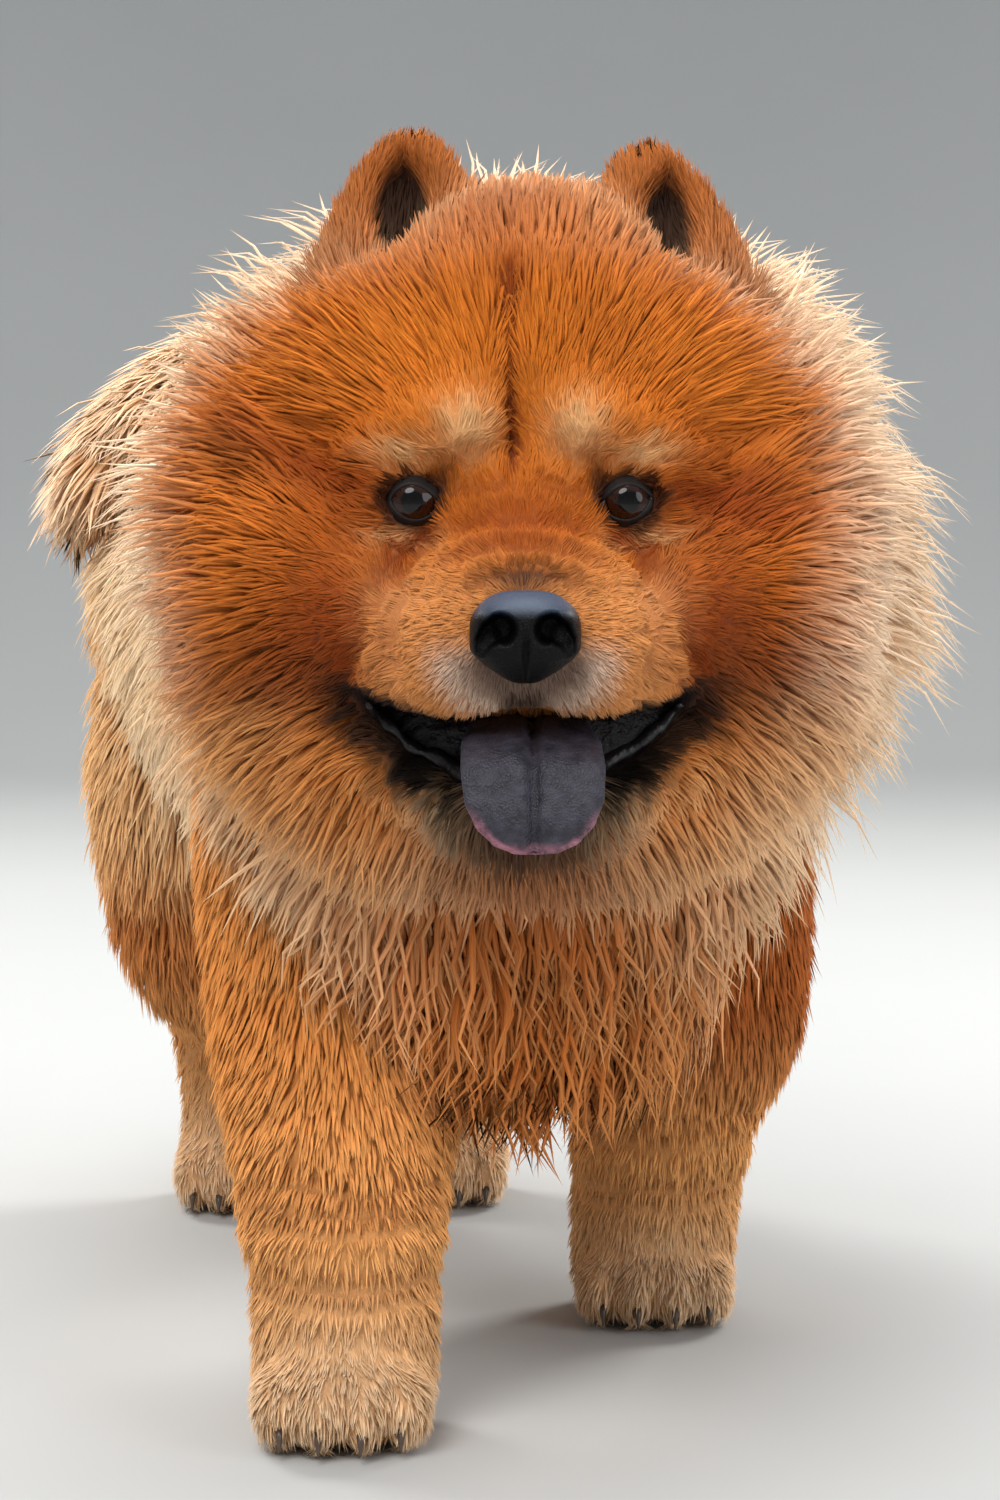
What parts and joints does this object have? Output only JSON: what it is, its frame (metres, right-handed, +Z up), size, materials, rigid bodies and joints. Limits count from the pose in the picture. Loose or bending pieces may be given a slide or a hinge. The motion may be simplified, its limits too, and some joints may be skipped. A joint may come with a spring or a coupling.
{
  "type": "chow chow",
  "caption": "Life-size chow chow walking with its head low, a full red-gold mane, open mouth and blue-black tongue.",
  "frame": {"origin": "on the floor under the middle of the dog's bounding box", "axes": "+Z up, -Y the way the dog faces, +X the dog's left"},
  "size_m": [0.4654, 0.835, 0.5695],
  "materials": {
    "face_coat": "matte",
    "ear_coat": "matte",
    "mane_coat": "matte",
    "body_coat": "matte",
    "paw_coat": "matte",
    "nose_skin": "satin",
    "lip_skin": "satin",
    "tongue_skin": "satin",
    "eye": "gloss"
  },
  "bodies": {
    "root": {"head": "face_coat", "ear_left": "ear_coat", "ear_right": "ear_coat", "eye_left": "eye", "eye_right": "eye", "nose": "nose_skin", "lower_jaw": "lip_skin", "tongue": "tongue_skin", "neck": "mane_coat", "torso": "body_coat", "tail": "mane_coat", "front_leg_left": "body_coat", "front_leg_right": "body_coat", "hind_leg_left": "body_coat", "hind_leg_right": "body_coat", "front_paw_left": "paw_coat", "front_paw_right": "paw_coat", "hind_paw_left": "paw_coat", "hind_paw_right": "paw_coat"}
  },
  "joints": []
}
